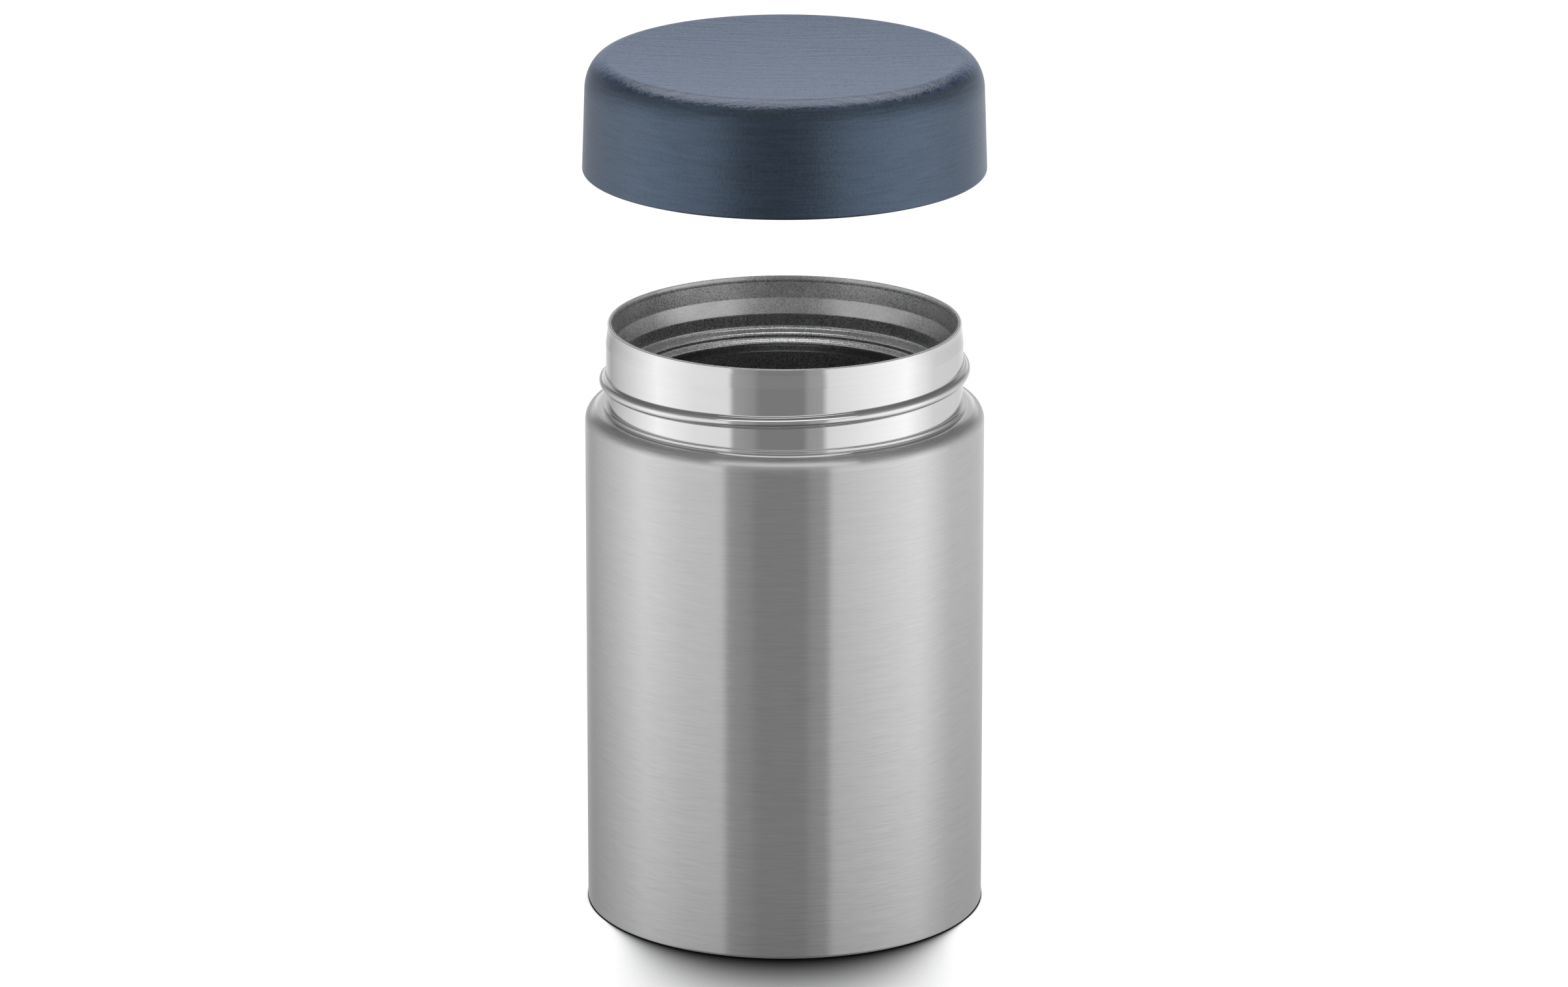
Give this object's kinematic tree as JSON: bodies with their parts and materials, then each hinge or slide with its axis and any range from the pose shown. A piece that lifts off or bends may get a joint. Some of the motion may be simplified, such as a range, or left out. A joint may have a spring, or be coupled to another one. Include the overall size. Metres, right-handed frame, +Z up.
{
  "type": "insulated food jar",
  "caption": "Double-walled steel food jar with a rolled screw neck and an insulated screw lid held clear above the mouth.",
  "frame": {"origin": "centre of the flat ring that the jar stands on", "axes": "+Z up the jar's axis towards the lid, -Y towards the front"},
  "size_m": [0.0856, 0.0856, 0.1864],
  "materials": {
    "brushed_steel": "satin",
    "pressed_steel": "satin",
    "satin_steel": "satin",
    "foil": "polished",
    "getter_metal": "matte",
    "solder_glass": "gloss",
    "lid_plastic": "satin",
    "liner_plastic": "satin",
    "foam": "matte",
    "silicone": "matte"
  },
  "bodies": {
    "jar": {"outer_shell": "brushed_steel", "outer_base": "pressed_steel", "base_cap": "pressed_steel", "vacuum_seal": "solder_glass", "getter": "getter_metal", "getter_clip": "pressed_steel", "inner_vessel": "satin_steel", "inner_base": "satin_steel", "radiation_foil": "foil"},
    "lid_core": {"lid_insulation": "foam", "seal_ring": "silicone"},
    "lid": {"lid_cover": "lid_plastic", "lid_liner": "liner_plastic"}
  },
  "joints": [
    {"name": "lid_lift", "type": "slide", "parent": "jar", "child": "lid_core", "axis": [0, 0, 1], "range_m": [-0.051, 0]},
    {"name": "lid_turn", "type": "hinge", "parent": "lid_core", "child": "lid", "pos_m": [0, 0, 0.17], "axis": [0, 0, 1], "range_deg": [-3600, 0]}
  ],
  "couplings": [
    {"joint": "lid_lift", "follows": "lid_turn", "m_per_rad": 0.00081169}
  ]
}
